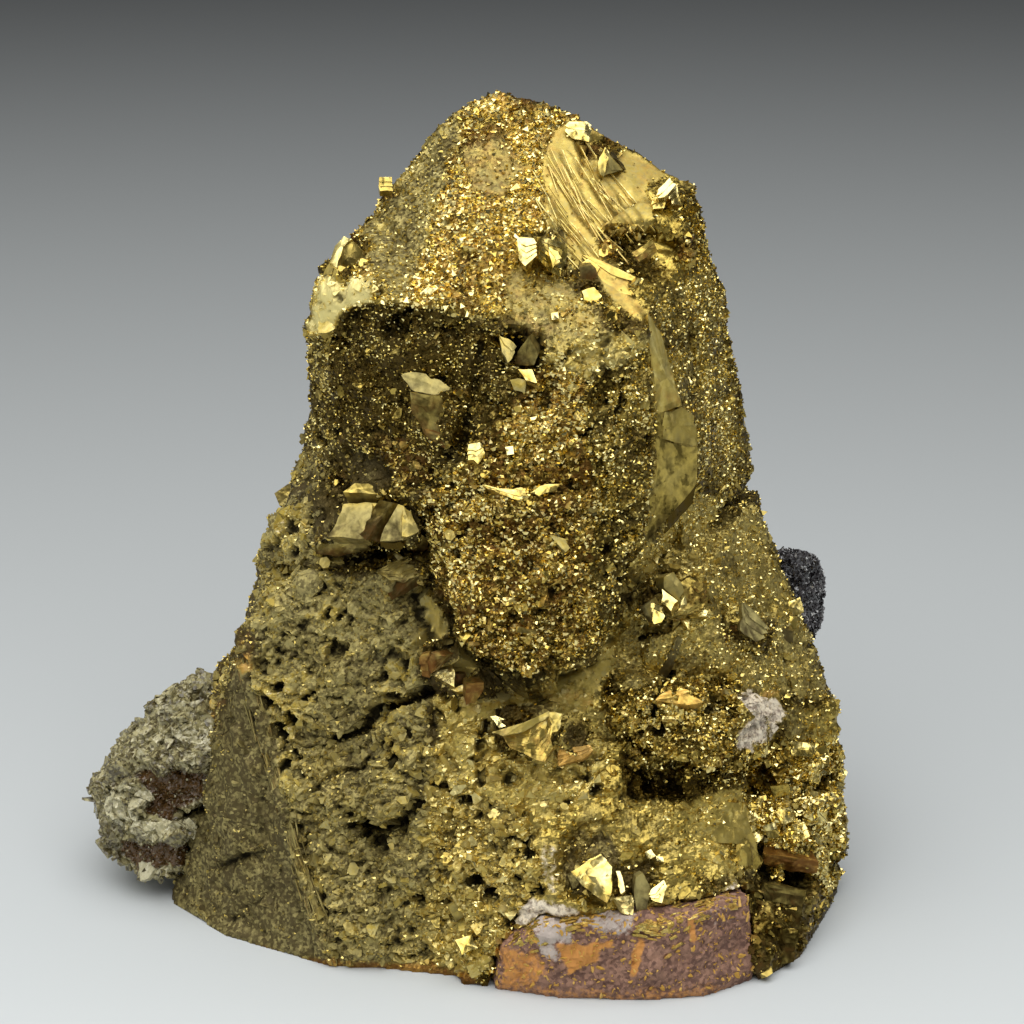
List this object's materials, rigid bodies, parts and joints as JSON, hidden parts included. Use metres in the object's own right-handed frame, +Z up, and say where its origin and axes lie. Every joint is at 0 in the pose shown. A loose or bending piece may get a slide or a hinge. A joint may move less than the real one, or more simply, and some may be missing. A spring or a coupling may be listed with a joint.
{
  "type": "chalcopyrite crystal specimen",
  "caption": "Hand-sized mineral specimen: a blocky brassy crystal on a stepped, drusy cluster with dark sphalerite and iron-stained matrix, standing on a flat broken base.",
  "frame": {"origin": "middle of the broken base that the specimen stands on", "axes": "+Z up from the base to the crown, the show side with the large crystal faces towards -Y, +X to the viewer's right"},
  "size_m": [0.078, 0.055, 0.08],
  "materials": {
    "brassy_ore": "natural chalcopyrite, drusy and tarnished, from golden to dark olive-brown",
    "dark_sphalerite": "dark grey sphalerite with a sparkling crystalline surface",
    "resinous_sphalerite": "resinous olive and red-brown sphalerite with silvery flaky edges",
    "stained_stone": "matt purple-brown stone with rusty streaks and golden specks"
  },
  "bodies": {
    "root": {"chalcopyrite_cluster": "brassy_ore", "sphalerite_crystal": "dark_sphalerite", "sphalerite_knot": "resinous_sphalerite", "iron_stained_matrix": "stained_stone"}
  },
  "joints": []
}
